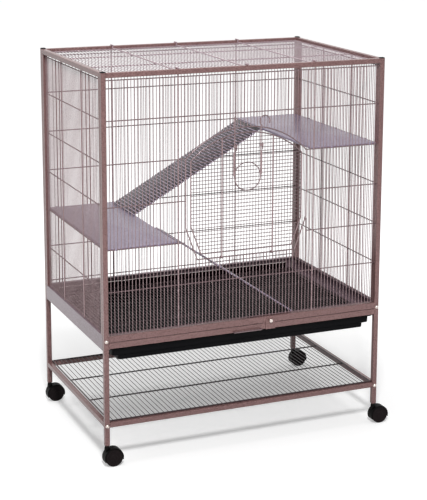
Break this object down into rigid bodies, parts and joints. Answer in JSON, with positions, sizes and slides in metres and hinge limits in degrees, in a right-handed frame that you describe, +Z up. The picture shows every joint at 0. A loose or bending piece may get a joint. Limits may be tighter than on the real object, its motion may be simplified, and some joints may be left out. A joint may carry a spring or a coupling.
{
  "type": "ferret cage",
  "caption": "Tall wire pet cage on a rolling stand with drop-down arched door, platforms, ramps, pull-out floor grille and tray, and a storage shelf.",
  "frame": {"origin": "on the floor, in the middle of the footprint, casters included", "axes": "+X to the right seen from the door side, +Y from the door to the back, +Z up"},
  "size_m": [0.8256, 0.5371, 1.0201],
  "materials": {
    "frame_paint": "satin hammered enamel, rose brown",
    "wire_paint": "satin enamel, rose brown",
    "dark_wire_paint": "satin enamel, dark brown",
    "apron_paint": "satin hammered enamel, rose brown",
    "platform_paint": "satin hammered enamel, lavender grey",
    "ramp_paint": "satin enamel, dark purple grey",
    "insert_plastic": "moulded, black",
    "tray_plastic": "moulded, black",
    "caster_plastic": "moulded, black",
    "wheel_plastic": "moulded, black",
    "bright_steel": "bright zinc plated"
  },
  "bodies": {
    "cage": {"front_frame": "frame_paint", "back_frame": "frame_paint", "left_frame": "frame_paint", "right_frame": "frame_paint", "front_bars_left": "wire_paint", "front_bars_right": "wire_paint", "front_bars_above": "wire_paint", "front_bars_below": "wire_paint", "door_opening_frame": "wire_paint", "back_bars": "wire_paint", "left_bars": "wire_paint", "right_bars": "wire_paint", "top_grid": "wire_paint", "front_rail": "frame_paint", "left_apron": "apron_paint", "right_apron": "apron_paint", "rear_apron": "apron_paint", "legs": "frame_paint", "leg_inserts": "insert_plastic", "frame_bolts": "bright_steel", "post_caps": "insert_plastic", "shelf_frame": "frame_paint", "shelf_bars": "dark_wire_paint", "caster_stems": "bright_steel", "lower_platform": "platform_paint", "upper_platform": "platform_paint", "platform_rods": "platform_paint"},
    "door": {"door_leaf": "wire_paint", "door_bars": "wire_paint", "door_stiffeners": "wire_paint", "latch_guides": "wire_paint"},
    "latch": {"door_latch": "wire_paint"},
    "grille_drawer": {"floor_grille": "dark_wire_paint", "grille_front_rail": "frame_paint", "grille_rear_rail": "apron_paint", "pull_handle": "wire_paint", "catch_plate": "frame_paint"},
    "screw": {"catch_screw": "bright_steel"},
    "tray": {"base_tray": "tray_plastic"},
    "upper_ramp_body": {"upper_ramp": "ramp_paint"},
    "lower_ramp_body": {"lower_ramp": "ramp_paint"},
    "swivel_front_left": {"caster_hood_front_left": "caster_plastic"},
    "wheels_front_left": {"caster_wheels_front_left": "wheel_plastic"},
    "swivel_front_right": {"caster_hood_front_right": "caster_plastic"},
    "wheels_front_right": {"caster_wheels_front_right": "wheel_plastic"},
    "swivel_rear_left": {"caster_hood_rear_left": "caster_plastic"},
    "wheels_rear_left": {"caster_wheels_rear_left": "wheel_plastic"},
    "swivel_rear_right": {"caster_hood_rear_right": "caster_plastic"},
    "wheels_rear_right": {"caster_wheels_rear_right": "wheel_plastic"}
  },
  "joints": [
    {"name": "door_hinge", "type": "hinge", "parent": "cage", "child": "door", "pos_m": [-0.016, -0.254, 0.521], "axis": [1, 0, 0], "range_deg": [0, 115]},
    {"name": "latch_slide", "type": "slide", "parent": "door", "child": "latch", "axis": [0, 0, -1], "range_m": [0, 0.037]},
    {"name": "grille_slide", "type": "slide", "parent": "cage", "child": "grille_drawer", "axis": [0, -1, 0], "range_m": [0, 0.31]},
    {"name": "screw_turn", "type": "hinge", "parent": "grille_drawer", "child": "screw", "pos_m": [0.0515, -0.262, 0.3355], "axis": [0, 1, 0], "continuous": true},
    {"name": "tray_slide", "type": "slide", "parent": "cage", "child": "tray", "axis": [0, -1, 0], "range_m": [0, 0.42]},
    {"name": "upper_ramp_hinge", "type": "hinge", "parent": "cage", "child": "upper_ramp_body", "pos_m": [0.1675, 0.142, 0.785], "axis": [0, 1, 0], "range_deg": [0, 45]},
    {"name": "lower_ramp_hinge", "type": "hinge", "parent": "cage", "child": "lower_ramp_body", "pos_m": [-0.1995, -0.1605, 0.567], "axis": [0, -1, 0], "range_deg": [0, 45]},
    {"name": "swivel_front_left", "type": "hinge", "parent": "cage", "child": "swivel_front_left", "pos_m": [-0.403, -0.254, 0.05], "axis": [0, 0, 1], "continuous": true},
    {"name": "roll_front_left", "type": "hinge", "parent": "swivel_front_left", "child": "wheels_front_left", "pos_m": [-0.387, -0.254, 0.023], "axis": [0, 1, 0], "continuous": true},
    {"name": "swivel_front_right", "type": "hinge", "parent": "cage", "child": "swivel_front_right", "pos_m": [0.371, -0.254, 0.05], "axis": [0, 0, 1], "continuous": true},
    {"name": "roll_front_right", "type": "hinge", "parent": "swivel_front_right", "child": "wheels_front_right", "pos_m": [0.387, -0.254, 0.023], "axis": [0, 1, 0], "continuous": true},
    {"name": "swivel_rear_left", "type": "hinge", "parent": "cage", "child": "swivel_rear_left", "pos_m": [-0.403, 0.254, 0.05], "axis": [0, 0, 1], "continuous": true},
    {"name": "roll_rear_left", "type": "hinge", "parent": "swivel_rear_left", "child": "wheels_rear_left", "pos_m": [-0.387, 0.254, 0.023], "axis": [0, 1, 0], "continuous": true},
    {"name": "swivel_rear_right", "type": "hinge", "parent": "cage", "child": "swivel_rear_right", "pos_m": [0.371, 0.254, 0.05], "axis": [0, 0, 1], "continuous": true},
    {"name": "roll_rear_right", "type": "hinge", "parent": "swivel_rear_right", "child": "wheels_rear_right", "pos_m": [0.387, 0.254, 0.023], "axis": [0, 1, 0], "continuous": true}
  ]
}
